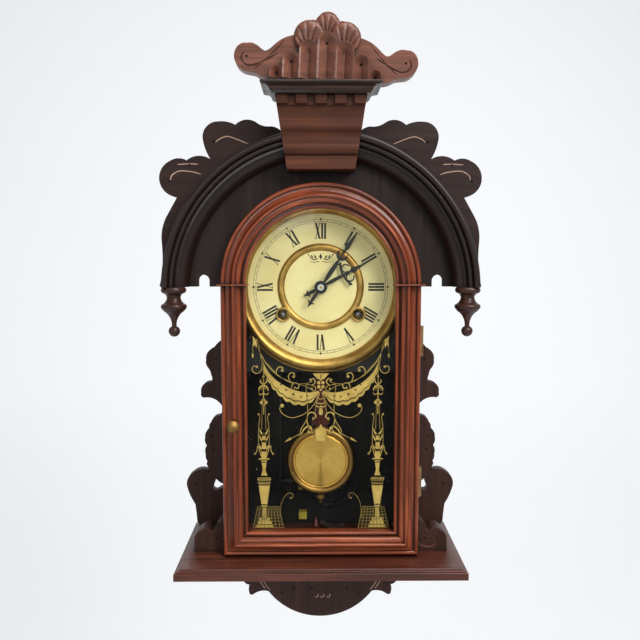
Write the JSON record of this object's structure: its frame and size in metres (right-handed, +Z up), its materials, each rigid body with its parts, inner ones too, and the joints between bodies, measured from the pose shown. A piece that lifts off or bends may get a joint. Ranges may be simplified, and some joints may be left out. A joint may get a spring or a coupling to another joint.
{
  "type": "pendulum wall clock",
  "caption": "Spring-driven pendulum wall clock in a glazed case with an arched hood, keystone, carved crest, shelf and apron; going train, strike hammer and swinging bob inside.",
  "frame": {"origin": "middle of the hanger plate's hole, on the wall plane at the back of the case", "axes": "+Z up, +Y into the wall, +X to the right seen from the front; the dial faces -Y"},
  "size_m": [0.3276, 0.132, 0.6519],
  "materials": {
    "wood_case": "stained, satin",
    "wood_shelf": "stained, glossy",
    "wood_hood": "dark stain, satin",
    "wood_keystone": "stained, satin",
    "wood_crest": "stained, satin",
    "wood_door": "stained, glossy",
    "wood_rod": "varnished",
    "board_black": "matte",
    "brass_bright": "polished",
    "brass_plain": "aged",
    "brass_movement": "brushed",
    "steel_grey": "plain",
    "steel_blued": "blued",
    "dial_cream": "cream enamel",
    "hands_black": "matte black",
    "glass_clear": "clear",
    "paint_red": "red"
  },
  "bodies": {
    "case": {"back_board": "wood_case", "case_sides": "wood_case", "case_top": "wood_case", "base_shelf": "wood_shelf", "bottom_apron": "wood_shelf", "side_ornaments": "wood_shelf", "scroll_brackets": "wood_shelf", "hood_panel": "wood_hood", "hood_moulding": "wood_hood", "hood_ears": "wood_hood", "drop_finials": "wood_hood", "keystone": "wood_keystone", "keystone_cap": "wood_keystone", "crest_board": "wood_crest", "hanger_plate": "brass_plain", "wood_screws": "steel_grey", "hinge_case_leaves": "brass_plain", "gong_coil": "steel_blued", "gong_post": "brass_plain", "beat_pointer": "paint_red", "dial_board": "board_black", "dial_plate": "dial_cream", "dial_bezel": "brass_bright", "dial_inner_ring": "brass_bright", "movement_plate_back": "brass_movement", "movement_plate_front": "brass_movement", "movement_pillars": "brass_movement", "movement_seat": "wood_case", "mainsprings": "steel_blued", "suspension_spring": "steel_grey"},
    "door": {"door_arch": "wood_door", "door_stiles": "wood_door", "door_bottom_rail": "wood_door", "door_glass": "glass_clear", "glass_bead": "wood_door", "door_knob": "brass_bright", "hinge_door_leaves": "brass_plain"},
    "pendulum": {"pendulum_leader": "brass_plain", "pendulum_rod": "wood_rod", "pendulum_bob": "brass_bright"},
    "nut": {"rating_nut": "brass_bright"},
    "anchor": {"anchor": "steel_grey"},
    "escape": {"escape_wheel": "brass_movement"},
    "third": {"third_wheel": "brass_movement"},
    "minute_arbor": {"center_wheel": "brass_movement", "minute_hand": "hands_black", "hand_nut": "steel_grey"},
    "hour": {"hour_wheel": "brass_movement", "hour_hand": "hands_black"},
    "minute_wheel": {"minute_wheel": "brass_movement"},
    "going_second": {"going_second_wheel": "brass_movement"},
    "going_great": {"going_great_wheel": "brass_movement"},
    "going_winding": {"going_winding_arbor": "steel_grey"},
    "strike_great": {"strike_great_wheel": "brass_movement"},
    "strike_winding": {"strike_winding_arbor": "steel_grey"},
    "strike_second": {"strike_second_wheel": "brass_movement"},
    "fly": {"strike_fly": "brass_movement"},
    "hammer": {"hammer": "steel_grey"},
    "key": {"winding_key": "steel_grey"}
  },
  "joints": [
    {"name": "door_swing", "type": "hinge", "parent": "case", "child": "door", "pos_m": [0.1028, -0.087, -0.128], "axis": [0, 0, 1], "range_deg": [0, 90]},
    {"name": "pendulum_swing", "type": "hinge", "parent": "case", "child": "pendulum", "pos_m": [0, 0, -0.071], "axis": [0, 1, 0], "range_deg": [-5, 5]},
    {"name": "anchor_rock", "type": "hinge", "parent": "case", "child": "anchor", "pos_m": [0, 0, -0.071], "axis": [0, 1, 0], "range_deg": [-5, 5]},
    {"name": "nut_turn", "type": "hinge", "parent": "pendulum", "child": "nut", "pos_m": [0, -0.0597, -0.328], "axis": [0, 0, 1], "continuous": true},
    {"name": "minute_turn", "type": "hinge", "parent": "case", "child": "minute_arbor", "pos_m": [0, 0, -0.128], "axis": [0, 1, 0], "continuous": true},
    {"name": "hour_turn", "type": "hinge", "parent": "case", "child": "hour", "pos_m": [0, 0, -0.128], "axis": [0, 1, 0], "continuous": true},
    {"name": "minute_wheel_turn", "type": "hinge", "parent": "case", "child": "minute_wheel", "pos_m": [0.0081, 0, -0.13765], "axis": [0, 1, 0], "continuous": true},
    {"name": "third_turn", "type": "hinge", "parent": "case", "child": "third", "pos_m": [0.00661, 0, -0.10702], "axis": [0, 1, 0], "continuous": true},
    {"name": "escape_turn", "type": "hinge", "parent": "case", "child": "escape", "pos_m": [0, 0, -0.091], "axis": [0, 1, 0], "continuous": true},
    {"name": "going_second_turn", "type": "hinge", "parent": "case", "child": "going_second", "pos_m": [0.02398, 0, -0.13193], "axis": [0, 1, 0], "continuous": true},
    {"name": "going_great_turn", "type": "hinge", "parent": "case", "child": "going_great", "pos_m": [0.039, 0, -0.1565], "axis": [0, 1, 0], "continuous": true},
    {"name": "going_winding_turn", "type": "hinge", "parent": "case", "child": "going_winding", "pos_m": [0.039, 0, -0.1565], "axis": [0, 1, 0], "continuous": true},
    {"name": "strike_second_turn", "type": "hinge", "parent": "case", "child": "strike_second", "pos_m": [-0.02398, 0, -0.13193], "axis": [0, 1, 0], "continuous": true},
    {"name": "strike_great_turn", "type": "hinge", "parent": "case", "child": "strike_great", "pos_m": [-0.039, 0, -0.1565], "axis": [0, 1, 0], "continuous": true},
    {"name": "fly_turn", "type": "hinge", "parent": "case", "child": "fly", "pos_m": [-0.03598, 0, -0.11114], "axis": [0, 1, 0], "continuous": true},
    {"name": "strike_winding_turn", "type": "hinge", "parent": "case", "child": "strike_winding", "pos_m": [-0.039, 0, -0.1565], "axis": [0, 1, 0], "continuous": true},
    {"name": "hammer_lift", "type": "hinge", "parent": "case", "child": "hammer", "pos_m": [-0.045, 0, -0.185], "axis": [0, 1, 0], "range_deg": [-0.9, 4]},
    {"name": "key_lift", "type": "slide", "parent": "case", "child": "key", "axis": [0, 0, 1], "range_m": [0, 0.012]}
  ],
  "couplings": [
    {"joint": "anchor_rock", "follows": "pendulum_swing", "ratio": 1},
    {"joint": "hour_turn", "follows": "minute_turn", "ratio": 0.083333},
    {"joint": "minute_wheel_turn", "follows": "minute_turn", "ratio": -0.33333},
    {"joint": "third_turn", "follows": "minute_turn", "ratio": -9},
    {"joint": "escape_turn", "follows": "minute_turn", "ratio": 90},
    {"joint": "going_second_turn", "follows": "minute_turn", "ratio": -0.125},
    {"joint": "going_great_turn", "follows": "minute_turn", "ratio": 0.017857},
    {"joint": "strike_great_turn", "follows": "strike_second_turn", "ratio": -0.14286},
    {"joint": "fly_turn", "follows": "strike_second_turn", "ratio": -9}
  ]
}
